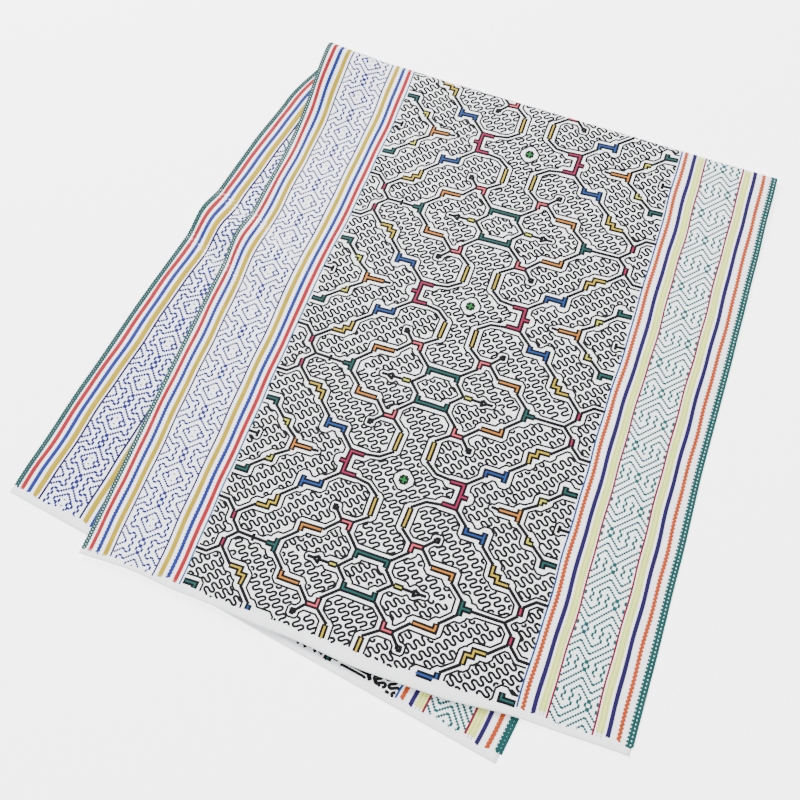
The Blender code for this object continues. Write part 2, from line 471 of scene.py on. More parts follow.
@dataclass(frozen=True)
class CottonFinish:
    """Plain-weave white cotton."""

    name: str = "white_cotton"
    colour: tuple[float, float, float] = (0.86, 0.87, 0.90)
    roughness: float = 0.92
    threads_per_metre: float = 1900.0

    def material(self) -> bpy.types.Material:
        """The cotton's material, with its weave as relief."""
        material = bpy.data.materials.new(self.name)
        material.use_nodes = True
        nodes, links = material.node_tree.nodes, material.node_tree.links
        shader = nodes["Principled BSDF"]
        shader.inputs["Roughness"].default_value = self.roughness
        shader.inputs["Sheen Weight"].default_value = 0.2
        shader.inputs["Specular IOR Level"].default_value = 0.2
        fibre = nodes.new("ShaderNodeGroup")
        fibre.node_tree = fibre_group()
        fibre.inputs["Colour"].default_value = (*self.colour, 1.0)
        fibre.inputs["Unevenness"].default_value = 0.06
        fibre.inputs["Scale"].default_value = 1200.0
        place = nodes.new("ShaderNodeTexCoord")
        total = None
        for direction in ("X", "Y"):
            wave = nodes.new("ShaderNodeTexWave")
            wave.wave_type = "BANDS"
            wave.bands_direction = direction
            wave.inputs["Scale"].default_value = self.threads_per_metre / 6.2832
            wave.inputs["Distortion"].default_value = 0.6
            links.new(place.outputs["Object"], wave.inputs["Vector"])
            if total is None:
                total = wave.outputs["Fac"]
            else:
                added = nodes.new("ShaderNodeMath")
                added.operation = "MULTIPLY"
                links.new(total, added.inputs[0])
                links.new(wave.outputs["Fac"], added.inputs[1])
                total = added.outputs[0]
        bump = nodes.new("ShaderNodeBump")
        bump.inputs["Strength"].default_value = 0.3
        bump.inputs["Distance"].default_value = 0.00015
        links.new(total, bump.inputs["Height"])
        links.new(bump.outputs["Normal"], shader.inputs["Normal"])
        links.new(fibre.outputs["Colour"], shader.inputs["Base Color"])
        return material


BLACK = ThreadFinish("black_thread", (0.0025, 0.0025, 0.0035), sheen=0.0, gloss=0.08)
MEANDER_BLACK = ThreadFinish("fine_black_thread", (0.004, 0.004, 0.005), sheen=0.0, gloss=0.08)
RED = ThreadFinish("red_thread", (0.30, 0.002, 0.010))
ROYAL = ThreadFinish("royal_blue_thread", (0.003, 0.013, 0.160))
YELLOW = ThreadFinish("yellow_thread", (0.34, 0.240, 0.000))
NAVY = ThreadFinish("navy_thread", (0.007, 0.001, 0.055))
FRET_BLUE = ThreadFinish("fret_blue_thread", (0.004, 0.006, 0.125))
LIGHT_BLUE = ThreadFinish("light_blue_thread", (0.001, 0.060, 0.170))
FIELD_BLUE = ThreadFinish("field_blue_thread", (0.002, 0.024, 0.140))
ORANGE = ThreadFinish("orange_thread", (0.33, 0.036, 0.000))
PALE_YELLOW = ThreadFinish("olive_yellow_thread", (0.24, 0.28, 0.001))
PALE_GROUND = ThreadFinish("pale_yellow_thread", (0.62, 0.70, 0.180), unevenness=0.2)
CRIMSON = ThreadFinish("crimson_thread", (0.14, 0.000, 0.018))
FRET_TEAL = ThreadFinish("fret_teal_thread", (0.000, 0.062, 0.064))
EDGE_TEAL = ThreadFinish("edge_teal_thread", (0.000, 0.047, 0.046))
CHAIN_TEAL = ThreadFinish("chain_teal_thread", (0.002, 0.042, 0.042))
MAGENTA = ThreadFinish("magenta_thread", (0.24, 0.000, 0.042))
GOLD = ThreadFinish("gold_thread", (0.40, 0.270, 0.000))
PINK = ThreadFinish("pink_thread", (0.52, 0.040, 0.075))
AMBER = ThreadFinish("amber_thread", (0.42, 0.130, 0.002))
BLOCK_TEAL = ThreadFinish("block_teal_thread", (0.001, 0.056, 0.050))
BLOCK_BLUE = ThreadFinish("block_blue_thread", (0.001, 0.036, 0.190))
LEMON = ThreadFinish("lemon_thread", (0.42, 0.40, 0.012))
GREEN = ThreadFinish("green_thread", (0.002, 0.125, 0.018))
BACK_GREEN = ThreadFinish("back_green_thread", (0.003, 0.016, 0.014))
BACK_TEAL = ThreadFinish("back_teal_thread", (0.004, 0.075, 0.130))


class Part(Enum):
    """Which stretch and side of the cloth a piece of stitching is on."""
    TOP = "top"
    BACK = "back"


@dataclass(frozen=True)
class Stretch:
    """One stretch of one side of the cloth that is stitched."""

    part: Part
    hidden_margin: float = 0.025
    fold_overlap: float = 0.0005
    start_margin: float = 0.0075
    end_margin: float = 0.0095
    margin_wave: float = 0.0010

    @property
    def wrong_side(self) -> bool:
        """True on the side that lies inside the fold."""
        return self.part is Part.BACK

    def covers(self, cloth: FoldedCloth, across: np.ndarray, along: np.ndarray) -> np.ndarray:
        """Which places are on this stretch.

        Args:
            cloth: the folded cloth.
            across: flat distances from the middle of the width.
            along: flat distances from the front hem.

        Returns:
            True for each place that is stitched here.
        """
        ragged = self.margin_wave * (np.sin(180.0 * across) + np.sin(67.0 * across + 1.0))
        bulge = read_table(HEM_BULGES, "across", "reach", across)
        stitched = along > self.start_margin + ragged - 0.35 * bulge
        stitched &= along < cloth.length - self.end_margin + ragged
        crease = cloth.fold_reach - across * math.tan(cloth.fold_angle)
        if self.part is Part.TOP:
            return stitched & (along <= crease + self.fold_overlap)
        laid = cloth.lay(across, along) + cloth.middle
        left = laid[:, 0] + 0.5 * cloth.width
        right = 0.5 * cloth.width - laid[:, 0]
        showing = np.minimum(np.minimum(left, right), laid[:, 1]) < self.hidden_margin
        return stitched & (along > crease + 0.01) & showing


class StitchWork:
    """Strands of thread of one piece, gathered in repeats of the pattern."""

    def __init__(self, name: str, threads: tuple[ThreadFinish, ...]) -> None:
        """Start an empty piece of stitching.

        Args:
            name: name of the piece, without its stretch.
            threads: its thread colours.
        """
        self.name = name
        self.threads = threads
        self.rows: list[np.ndarray] = []
        self.strands = 0

    def add(self, points: np.ndarray, half_width: float | np.ndarray, rise: float | np.ndarray,
            thread: int = 0, base: float = 0.00003, strand: np.ndarray | None = None) -> None:
        """Add strands of thread.

        Args:
            points: one row of u and v for each point, in repeats of the pattern.
            half_width: half the thread's width, in metres.
            rise: height of the thread's ridge above its foot, in metres.
            thread: number of the thread colour.
            base: height of the thread's foot above the cloth, in metres.
            strand: number of the strand that each point is on, or None for a single strand.
        """
        count = len(points)
        if strand is None:
            strand = np.zeros(count)
        rows = np.empty((count, 7))
        rows[:, :2] = points
        rows[:, 2] = half_width
        rows[:, 3] = rise
        rows[:, 4] = base
        rows[:, 5] = strand + self.strands
        rows[:, 6] = thread
        self.strands += int(strand.max()) + 1 if count else 0
        self.rows.append(rows)

    def build(self, cloth: FoldedCloth, stretch: Stretch, spread: float = 1.0) -> bpy.types.Object | None:
        """Lay the strands on the cloth as ridged thread.

        Args:
            cloth: the folded cloth.
            stretch: the stretch of cloth that is stitched.
            spread: factor on the widths of the thread.

        Returns:
            The piece, or None if nothing is on this stretch.
        """
        rows = np.concatenate(self.rows)
        flat = np.stack([rows[:, 0] * REPEAT + CENTRE_ACROSS, (CROSS_ROW - rows[:, 1]) * REPEAT], axis=1)
        order = np.flatnonzero(stretch.covers(cloth, flat[:, 0], flat[:, 1]))
        if len(order) < 2:
            return None
        rows, flat = rows[order], flat[order]
        fresh = np.ones(len(rows), dtype=bool)
        fresh[1:] = (np.diff(rows[:, 5]) != 0) | (np.diff(order) > 1)
        strand = np.cumsum(fresh)
        enough = np.bincount(strand)[strand] >= 2
        rows, flat, strand = rows[enough], flat[enough], strand[enough]

        joined = strand[1:] == strand[:-1]
        step = np.diff(flat, axis=0)
        unit = step / np.maximum(np.hypot(step[:, 0], step[:, 1]), 1e-9)[:, None] * joined[:, None]
        heading = np.zeros_like(flat)
        heading[:-1] += unit
        heading[1:] += unit
        size = np.maximum(np.hypot(heading[:, 0], heading[:, 1]), 1e-9)
        inner = np.zeros(len(flat), dtype=bool)
        inner[1:-1] = joined[1:] & joined[:-1]
        mitre = np.where(inner, np.minimum(2.0 / size, 1.6), 1.0)
        heading /= size[:, None]
        half = (rows[:, 2] * spread * mitre)[:, None] * np.stack([-heading[:, 1], heading[:, 0]], axis=1)

        places = np.concatenate([flat + half, flat, flat - half])
        lift = np.concatenate([rows[:, 4], rows[:, 4] + rows[:, 3], rows[:, 4]])
        points = cloth.place(places[:, 0], places[:, 1], lift, stretch.wrong_side)
        count = len(flat)
        near = np.flatnonzero(joined)
        far = near + 1
        left = np.stack([near, near + count, far + count, far], axis=1)
        right = np.stack([near + count, near + 2 * count, far + 2 * count, far + count], axis=1)
        faces = np.concatenate([left, right])
        if stretch.wrong_side:
            faces = faces[:, ::-1]
        colour = np.concatenate([rows[near, 6], rows[near, 6]])
        uv = np.stack([places[:, 0] / cloth.width + 0.5, places[:, 1] / cloth.length], axis=1)
        materials = tuple(thread.material() for thread in self.threads)
        name = f"{self.name}_{stretch.part.value}"
        piece = make_piece(name, points, faces, np.clip(uv * 0.97 + 0.015, 0.0, 1.0), materials, colour)
        LOG.info("%s: %d triangles", name, 2 * len(faces))
        return piece


def wander(points: np.ndarray) -> np.ndarray:
    """Shift pattern points a little, as hand-guided stitching wanders.

    Args:
        points: one row of u and v for each point.

    Returns:
        The shifted points.
    """
    u, v = points[:, 0], points[:, 1]
    shift_u = 0.0020 * np.sin(5.7 * u + 9.1 * v + 0.6) + 0.0014 * np.sin(21.0 * v - 13.0 * u + 2.1)
    shift_v = 0.0020 * np.sin(8.3 * u - 6.1 * v + 1.9) + 0.0014 * np.sin(17.0 * u + 19.0 * v + 0.4)
    return np.stack([u + shift_u, v + shift_v], axis=1)


def beaded(corners: np.ndarray, pitch: float) -> tuple[np.ndarray, np.ndarray]:
    """Points along a line of stitches, two to a stitch, with every corner kept.

    Args:
        corners: one row of u and v for each corner of the line.
        pitch: length of a stitch, in repeats.

    Returns:
        The points, and for each whether it is the thick middle of a stitch.
    """
    points, middle = [corners[:1]], [np.array([False])]
    for start, end in zip(corners[:-1], corners[1:]):
        stitches = max(1, round(float(np.hypot(*(end - start))) / pitch))
        share = np.arange(1, 2 * stitches + 1) / (2 * stitches)
        points.append(start + share[:, None] * (end - start))
        middle.append(np.arange(1, 2 * stitches + 1) % 2 == 1)
    return np.concatenate(points), np.concatenate(middle)


class Copies(Enum):
    """How a charted shape is mirrored in one repeat of the pattern."""
    ONE = ((1, 1),)
    SIDES = ((1, 1), (-1, 1))
    ENDS = ((1, 1), (1, -1))
    QUARTERS = ((1, 1), (-1, 1), (1, -1), (-1, -1))


class Bar(NamedTuple):
    """Coloured satin bar with a black border, by the corners of its middle line."""
    thread: ThreadFinish
    copies: Copies
    corners: tuple[tuple[float, float], ...]


class Line(NamedTuple):
    """Black line of stitches, by its corners."""
    copies: Copies
    corners: tuple[tuple[float, float], ...]


BARS = (
    Bar(GREEN, Copies.ONE, ((-0.009, 0.0), (0.025, 0.0))),
    Bar(GREEN, Copies.ONE, ((0.008, -0.017), (0.008, 0.017))),
    Bar(MAGENTA, Copies.SIDES, ((0.221, -0.059), (0.285, -0.059), (0.285, 0.059), (0.221, 0.059))),
    Bar(MAGENTA, Copies.SIDES, ((0.290, 0.0), (0.318, 0.0))),
    Bar(GOLD, Copies.QUARTERS, ((0.085, 0.130), (0.085, 0.220))),
    Bar(PINK, Copies.QUARTERS, ((0.202, 0.289), (0.158, 0.289), (0.158, 0.324))),
    Bar(BLOCK_TEAL, Copies.SIDES, ((0.0, 0.4045), (0.076, 0.4045), (0.076, 0.433))),
    Bar(BLOCK_TEAL, Copies.SIDES, ((0.0, 0.5955), (0.076, 0.5955), (0.076, 0.567))),
    Bar(LEMON, Copies.SIDES, ((0.147, 0.5), (0.178, 0.5))),
    Bar(AMBER, Copies.QUARTERS, ((0.279, 0.365), (0.376, 0.365), (0.376, 0.392))),
    Bar(BLOCK_TEAL, Copies.SIDES, ((0.4575, 0.470), (0.4575, 0.530))),
    Bar(BLOCK_TEAL, Copies.SIDES, ((0.4575, 0.5), (0.500, 0.5))),
    Bar(BLOCK_BLUE, Copies.QUARTERS, ((0.367, 0.136), (0.367, 0.161), (0.456, 0.161))),
    Bar(BLOCK_BLUE, Copies.QUARTERS, ((0.457, 0.138), (0.457, 0.188))),
    Bar(GOLD, Copies.QUARTERS, ((0.540, 0.268), (0.540, 0.311), (0.571, 0.311), (0.571, 0.338), (0.624, 0.338))),
    Bar(MAGENTA, Copies.QUARTERS, ((0.708, 0.413), (0.708, 0.445))),
    Bar(AMBER, Copies.SIDES, ((0.576, -0.027), (0.576, 0.027))),
    Bar(AMBER, Copies.SIDES, ((0.480, 0.0), (0.576, 0.0))),
    Bar(LEMON, Copies.QUARTERS, ((0.649, 0.087), (0.649, 0.1085), (0.672, 0.1085))),
    Bar(BLOCK_TEAL, Copies.ENDS, ((0.800, 0.177), (0.743, 0.177), (0.743, 0.202))),
    Bar(BLOCK_TEAL, Copies.ENDS, ((-0.800, 0.199), (-0.746, 0.199), (-0.746, 0.172))),
)

LINES = (
    Line(Copies.QUARTERS, ((0.214, 0.066), (0.144, 0.075), (0.087, 0.117))),
    Line(Copies.QUARTERS, ((0.087, 0.233), (0.148, 0.280))),
    Line(Copies.QUARTERS, ((0.210, 0.281), (0.241, 0.248))),
    Line(Copies.QUARTERS, ((0.210, 0.297), (0.266, 0.356))),
    Line(Copies.QUARTERS, ((0.153, 0.334), (0.092, 0.391))),
    Line(Copies.QUARTERS, ((0.084, 0.446), (0.136, 0.500))),
    Line(Copies.QUARTERS, ((0.384, 0.404), (0.447, 0.463))),
    Line(Copies.QUARTERS, ((0.296, 0.071), (0.358, 0.127))),
    Line(Copies.QUARTERS, ((0.466, 0.200), (0.531, 0.258))),
    Line(Copies.QUARTERS, ((0.634, 0.346), (0.698, 0.404))),
    Line(Copies.QUARTERS, ((0.698, 0.456), (0.655, 0.500))),
    Line(Copies.QUARTERS, ((0.718, 0.403), (0.764, 0.362), (0.813, 0.362))),
    Line(Copies.QUARTERS, ((0.585, 0.038), (0.639, 0.077))),
    Line(Copies.QUARTERS, ((0.682, 0.118), (0.734, 0.164))),
    Line(Copies.SIDES, ((0.512, 0.5), (0.655, 0.5))),
    Line(Copies.SIDES, ((0.188, 0.5), (0.236, 0.5))),
    Line(Copies.SIDES, ((0.236, 0.484), (0.236, 0.516), (0.262, 0.5), (0.236, 0.484))),
    Line(Copies.SIDES, ((0.262, 0.5), (0.288, 0.5))),
    Line(Copies.SIDES, ((0.469, 0.0), (0.445, -0.002))),
    Line(Copies.SIDES, ((0.768, -0.012), (0.768, 0.012))),
    Line(Copies.SIDES, ((0.768, 0.0), (0.810, 0.0))),
    Line(Copies.ONE, ((-0.575, 0.488), (-0.575, 0.512))),
    Line(Copies.QUARTERS, ((0.2455, 0.2255), (0.2635, 0.2255), (0.2635, 0.2435), (0.2455, 0.2435), (0.2455, 0.2255))),
)


class Lean(Enum):
    """Which way the rows of meander run in a cell: both ways mirrored, or all one way."""
    MIRRORED = 1
    RISING = 2
    FALLING = 3


class Cell(NamedTuple):
    """A cell of the field, by a place inside it in the first quarter of the repeat."""
    u: float
    v: float
    lean: Lean


CELLS = (
    Cell(0.000, 0.200, Lean.FALLING), Cell(0.200, 0.170, Lean.MIRRORED), Cell(0.450, 0.360, Lean.MIRRORED),
    Cell(0.620, 0.200, Lean.RISING), Cell(0.380, 0.040, Lean.RISING), Cell(0.700, 0.050, Lean.RISING),
    Cell(0.330, 0.430, Lean.MIRRORED), Cell(0.030, 0.480, Lean.RISING), Cell(0.760, 0.450, Lean.RISING),
)


def row_numbers() -> range:
    """Numbers of the pattern rows from the far end of the cloth to the front hem."""
    return range(-4, 4)


def mirrored(corners: tuple | np.ndarray, copies: Copies, row: int) -> list[np.ndarray]:
    """Corners of a charted shape in all its copies round one cross.

    Args:
        corners: charted u and v of the corners.
        copies: how the shape is mirrored.
        row: number of the cross row.

    Returns:
        One array of u and v for each copy.
    """
    shape = np.array(corners, dtype=float)
    return [shape * sign + (FIELD_AXIS, row) for sign in copies.value]


def contour_lines(grid: np.ndarray, level: float, step: float) -> list[np.ndarray]:
    """Lines of one level through a grid of values.

    Args:
        grid: values, by row number of u and column number of v.
        level: the level to follow.
        step: distance between grid places.

    Returns:
        One array of u and v for each line.
    """
    above = grid > level
    mixed = (above[:-1, :-1] != above[1:, :-1]) | (above[:-1, :-1] != above[:-1, 1:])
    mixed |= above[1:, 1:] != above[1:, :-1]
    mixed |= above[1:, 1:] != above[:-1, 1:]

    def crossing(first: tuple[int, int], second: tuple[int, int]) -> tuple[float, float]:
        """Place between two grid places where the level is crossed."""
        share = (level - grid[first]) / (grid[second] - grid[first])
        place_u, place_v = (near + share * (far - near) for near, far in zip(first, second))
        return place_u * step, place_v * step

    places: dict = {}
    partners: dict = {}
    for i, j in np.argwhere(mixed).tolist():
        corners = ((i, j), (i + 1, j), (i + 1, j + 1), (i, j + 1))
        cut = []
        for first, second in zip(corners, corners[1:] + corners[:1]):
            if above[first] != above[second]:
                edge = (min(first, second), max(first, second))
                places[edge] = crossing(*edge)
                cut.append(edge)
        for first, second in zip(cut[::2], cut[1::2]):
            partners.setdefault(first, []).append(second)
            partners.setdefault(second, []).append(first)

    lines = []
    ends = [edge for edge in partners if len(partners[edge]) == 1]
    for start in ends + list(partners):
        if not partners.get(start):
            continue
        line, edge = [places[start]], start
        while partners.get(edge):
            onward = partners[edge].pop()
            partners[onward].remove(edge)
            line.append(places[onward])
            edge = onward
        lines.append(np.array(line))
    return lines


@dataclass
class FieldPattern:
    """The field between the borders: black network, coloured bars, thin outlines and meander."""

    left_edge: float = -0.822
    right_edge: float = 0.804
    grid_step: float = 0.004
    grid_reach: float = 0.840
    bar_half_width: float = 0.0150
    outline_offset: float = 0.0205
    stitch: float = 0.0124
    row_heading: tuple[float, float] = (0.715, 0.699)
    wave_period: float = 0.0395
    row_spacing: float = 0.0528
    wave_height: float = 0.0195
    wave_shear: float = -0.17
    wave_bulb: float = 0.095
    samples: int = 14
    meander_half_width: float = 0.00138
    meander_rise: float = 0.00036
    outline_half_width: float = 0.00118
    outline_rise: float = 0.00032
    stitch_half_width: float = 0.00205
    joint_half_width: float = 0.00165
    end_extra: float = 0.007
    border_margin: float = 0.0012
    border_rise: float = 0.0003
    satin_pitch: float = 0.0075
    satin_half_width: float = 0.00108
    satin_base: float = 0.00022
    distance: np.ndarray = field(init=False)
    leans: np.ndarray = field(init=False)

    def __post_init__(self) -> None:
        """Work out distances from the network, and the cells, for one half of the repeat."""
        self.distance = self.distances()
        self.leans = self.cells()

    def distances(self) -> np.ndarray:
        """Distance of each grid place of the half repeat from the network's lines and bars."""
        places_u = np.arange(-self.grid_reach, self.grid_reach + 0.001, self.grid_step)
        u, v = np.meshgrid(places_u, np.arange(0.0, 0.5001, self.grid_step), indexing="ij")
        nearest = np.full(u.shape, 1.0)
        shapes = [(bar, self.bar_half_width) for bar in BARS] + [(line, 0.0) for line in LINES]
        copies = [(shape, half, side) for shape, half in shapes for side in {sign[0] for sign in shape.copies.value}]
        for shape, half_width, side in copies:
            corners = [(side * corner_u, corner_v) for corner_u, corner_v in shape.corners]
            for (u0, v0), (u1, v1) in zip(corners, corners[1:]):
                run_u, run_v = u1 - u0, v1 - v0
                share = ((u - u0) * run_u + (v - v0) * run_v) / (run_u ** 2 + run_v ** 2)
                share = np.clip(share, 0.0, 1.0)
                off_u, off_v = np.abs(u - u0 - share * run_u), np.abs(v - v0 - share * run_v)
                away = np.maximum(np.maximum(off_u, off_v), 0.7071 * (off_u + off_v))
                nearest = np.minimum(nearest, away - half_width)
        return nearest

    def cells(self) -> np.ndarray:
        """Lean of the meander at each grid place of the half repeat, by its cell."""
        leans = np.zeros(self.distance.shape, dtype=int)
        free = self.distance > self.outline_offset
        for cell, side in ((cell, side) for cell in CELLS for side in (1, -1)):
            reached = np.zeros_like(free)
            place = (side * cell.u + self.grid_reach) / self.grid_step
            reached[round(place), round(cell.v / self.grid_step)] = True
            size = 0
            while reached.sum() > size:
                size = reached.sum()
                for _ in range(8):
                    grown = reached.copy()
                    grown[1:] |= reached[:-1]
                    grown[:-1] |= reached[1:]
                    grown[:, 1:] |= reached[:, :-1]
                    grown[:, :-1] |= reached[:, 1:]
                    reached = grown & free
            leans[reached & (leans == 0)] = cell.lean.value
        return leans

    def look_up(self, points: np.ndarray) -> tuple[np.ndarray, np.ndarray]:
        """Distance from the network, and whether the rows fall to the right, at places of the field.

        Args:
            points: one row of u and v for each place.

        Returns:
            Distances, and True where the meander's rows fall to the right.
        """
        within = np.mod(points[:, 1], 1.0)
        lower = within > 0.5
        v = np.where(lower, 1.0 - within, within) / self.grid_step
        u = (points[:, 0] - FIELD_AXIS + self.grid_reach) / self.grid_step
        u = np.clip(u, 0.0, self.distance.shape[0] - 1.001)
        v = np.minimum(v, self.distance.shape[1] - 1.001)
        i, j = u.astype(int), v.astype(int)
        fu, fv = u - i, v - j
        grid = self.distance
        away = (grid[i, j] * (1 - fu) * (1 - fv) + grid[i + 1, j] * fu * (1 - fv)
                + grid[i, j + 1] * (1 - fu) * fv + grid[i + 1, j + 1] * fu * fv)
        lean = self.leans[np.round(u).astype(int), np.round(v).astype(int)]
        swapped = (points[:, 0] > FIELD_AXIS) != lower
        falling = (lean == Lean.FALLING.value) | ((lean == Lean.MIRRORED.value) & swapped)
        away = np.where(lean == 0, 0.0, away)
        return away, falling

    def inside(self, points: np.ndarray) -> np.ndarray:
        """Which places lie between the field's two side lines."""
        return (points[:, 0] > self.left_edge) & (points[:, 0] < self.right_edge)

    def add_clipped(self, work: StitchWork, points: np.ndarray, keep: np.ndarray, strand: np.ndarray,
                    half_width: float, rise: float, shortest: int) -> None:
        """Add the kept runs of long strands to a piece of stitching.

        Args:
            work: piece of stitching.
            points: one row of u and v for each point.
            keep: which points are kept.
            strand: number of the strand that each point is on.
            half_width: half the thread's width, in metres.
            rise: height of the thread, in metres.
            shortest: least number of points in a kept run.
        """
        order = np.flatnonzero(keep)
        fresh = np.ones(len(order), dtype=bool)
        fresh[1:] = (np.diff(order) > 1) | (np.diff(strand[order]) != 0)
        run = np.cumsum(fresh) - 1
        long_enough = np.bincount(run)[run] >= shortest
        work.add(wander(points[order][long_enough]), half_width, rise, strand=run[long_enough])

    def meander(self) -> StitchWork:
        """Rows of S-shaped waves that fill the cells."""
        work = StitchWork("meander_stitching", (MEANDER_BLACK,))
        chance = np.random.default_rng(11)
        heading = np.array(self.row_heading)
        beside = np.array([heading[1], -heading[0]])
        turn = np.arange(-3.6, 3.6, self.wave_period / self.samples)
        for side in (1.0, -1.0):
            points, strands = [], []
            for row in range(-62, 70):
                phase = 2.0 * math.pi * turn / self.wave_period + 0.5 * np.sin(turn * 4.0 + 0.7 * row)
                swell = 1.0 + 0.07 * np.sin(turn * 31.0 + 6.3 * chance.random())
                height = self.wave_height * swell * np.sin(phase)
                onward = turn - self.wave_shear * height - self.wave_bulb * self.wave_period * np.sin(2.0 * phase)
                middle = row * self.row_spacing + 0.0015 * np.sin(turn * 19.0 + 6.3 * chance.random())
                place = onward[:, None] * heading + (middle + height)[:, None] * beside
                place[:, 0] *= side
                near = (np.abs(place[:, 0]) < 0.83) & (place[:, 1] > -3.62) & (place[:, 1] < 2.95)
                points.append(place[near])
                strands.append(np.full(near.sum(), row + 70))
            points, strands = np.concatenate(points), np.concatenate(strands)
            away, falling = self.look_up(points)
            keep = (away > self.outline_offset + 0.002) & (falling == (side > 0)) & self.inside(points)
            self.add_clipped(work, points, keep, strands, self.meander_half_width, self.meander_rise, 6)
        return work

    def outlines(self) -> StitchWork:
        """Thin lines that run round every cell, beside the network."""
        work = StitchWork("outline_stitching", (MEANDER_BLACK,))
        for line in contour_lines(self.distance, self.outline_offset, self.grid_step):
            if len(line) < 6:
                continue
            line = np.concatenate([line[:1], line[1:-1:2], line[-1:]]) - (self.grid_reach, 0.0)
            for row in row_numbers():
                for points in mirrored(line, Copies.ENDS, row):
                    self.add_clipped(work, points, self.inside(points), np.zeros(len(points)),
                                     self.outline_half_width, self.outline_rise, 2)
        return work

    def network(self) -> StitchWork:
        """Black lines of the network and the black borders of its bars."""
        work = StitchWork("line_stitching", (BLACK,))
        for row in row_numbers():
            for line in LINES:
                for corners in mirrored(line.corners, line.copies, row):
                    if line.corners[0] != line.corners[-1]:
                        corners = lengthened(corners, self.end_extra)
                    points, middle = beaded(corners, self.stitch)
                    half_width = np.where(middle, self.stitch_half_width, self.joint_half_width)
                    work.add(wander(points), half_width, np.where(middle, 0.0005, 0.0003))
            for bar in BARS:
                for corners in mirrored(bar.corners, bar.copies, row):
                    points, _ = beaded(lengthened(corners, self.end_extra), 0.010)
                    work.add(wander(points), (self.bar_half_width + self.border_margin) * REPEAT, self.border_rise)
        return work

    def bars(self) -> StitchWork:
        """Coloured satin cores of the bars."""
        threads = tuple(dict.fromkeys(bar.thread for bar in BARS))
        work = StitchWork("bar_stitching", threads)
        for row in row_numbers():
            for bar in BARS:
                for corners in mirrored(bar.corners, bar.copies, row):
                    points, middle = beaded(corners, self.satin_pitch)
                    rise = np.where(middle, 0.00042, 0.00032)
                    work.add(wander(points), self.satin_half_width, rise, threads.index(bar.thread), self.satin_base)
        return work


def lengthened(corners: np.ndarray, extra: float) -> np.ndarray:
    """A line of corners with both of its ends moved outwards.

    Args:
        corners: one row of u and v for each corner.
        extra: how far each end moves, in repeats.

    Returns:
        The longer line.
    """
    longer = corners.copy()
    for end, inner in ((0, 1), (-1, -2)):
        run = corners[end] - corners[inner]
        longer[end] = corners[end] + extra * run / np.hypot(*run)
    return longer


class Shape(NamedTuple):
    """Charted fret line in squares of the band, mirrored or not."""
    mirror: bool
    corners: tuple[tuple[float, float], ...]


DIAMOND_FRET = (
    Shape(False, ((0, -3), (3, 0), (0, 3), (-3, 0), (0, -3))),
    Shape(False, ((2, -1), (1, 0), (2, 1))),
    Shape(False, ((-2, -1), (-1, 0), (-1.5, 0.5))),
    Shape(False, ((0, -1.2), (0, -0.8))),
    Shape(False, ((0, 0.8), (0, 1.2))),
    Shape(True, ((0, -5), (-3, -2), (-4, -3), (-5, -2), (-4, -1), (-5, 0), (-4, 1), (-5, 2), (-4, 3), (-3, 2), (0, 5))),
    Shape(False, ((0, 5), (-1, 6), (0, 7), (1, 8), (0, 9), (-1, 8), (0, 7), (1, 6), (0, 5))),
    Shape(True, ((-6, 3), (-4, 5), (-3, 4), (-2, 5), (-3, 6), (-2, 7), (-3, 8), (-2, 9), (-3, 10), (-4, 9), (-6, 11))),
    Shape(True, ((-6, 5), (-4, 7), (-6, 9))),
    Shape(True, ((-6.1, -0.2), (-6.1, 0.4))),
)

KEY_FRET = (
    Shape(False, ((0, -2), (1, -1), (0, 0), (-1, -1), (0, -2))),
    Shape(False, ((0, 0), (-6, 6))),
    Shape(False, ((-6, 8), (-3, 11), (-1, 9), (-2, 8), (-1, 7), (-2, 6), (0, 4), (3, 7))),
    Shape(False, ((-3, 9), (-4, 8), (-3, 7), (-4, 6), (0, 2), (3, 5), (7, 1), (6, 0), (7, -1), (6, -2))),
)


@dataclass(frozen=True)
class FretBand:
    """One border band of dotted fret: its chart and where its squares lie."""

    name: str
    thread: ThreadFinish
    chart: tuple[Shape, ...]
    centre: float
    square_u: float
    square_v: float
    first_row: float
    steps: tuple[tuple[int, int], ...]
    half_squares: float
    half_width: float = 0.00158
    rise: float = 0.00042

    def origins(self) -> list[tuple[int, int]]:
        """Squares at which the chart is repeated along the band."""
        found = []
        for first in range(-60, 61):
            for second in (range(-60, 61) if len(self.steps) > 1 else (0,)):
                i = first * self.steps[0][0] + (second * self.steps[1][0] if len(self.steps) > 1 else 0)
                j = first * self.steps[0][1] + (second * self.steps[1][1] if len(self.steps) > 1 else 0)
                v = self.first_row + j * self.square_v
                if abs(i) <= 13 and -3.9 < v < 3.2:
                    found.append((i, j))
        return found

    def stitch(self) -> StitchWork:
        """Dotted lines of the whole band."""
        work = StitchWork(self.name, (self.thread,))
        for i0, j0 in self.origins():
            for shape in self.chart:
                for side in ((1, -1) if shape.mirror else (1,)):
                    corners = np.array(shape.corners, dtype=float) * (side, 1.0) + (i0, j0)
                    squares, middle = beaded(corners, 0.7071)
                    keep = np.abs(squares[:, 0]) <= self.half_squares
                    if keep.sum() < 2:
                        continue
                    run = np.cumsum(np.diff(np.concatenate([[0], keep.astype(int)])) > 0)[keep] - 1
                    squares, middle = squares[keep], middle[keep]
                    points = np.stack([self.centre + squares[:, 0] * self.square_u,
                                       self.first_row + squares[:, 1] * self.square_v], axis=1)
                    width = np.where(middle, self.half_width, 0.25 * self.half_width)
                    work.add(wander(points), width, np.where(middle, self.rise, 0.00012), strand=run)
        return work


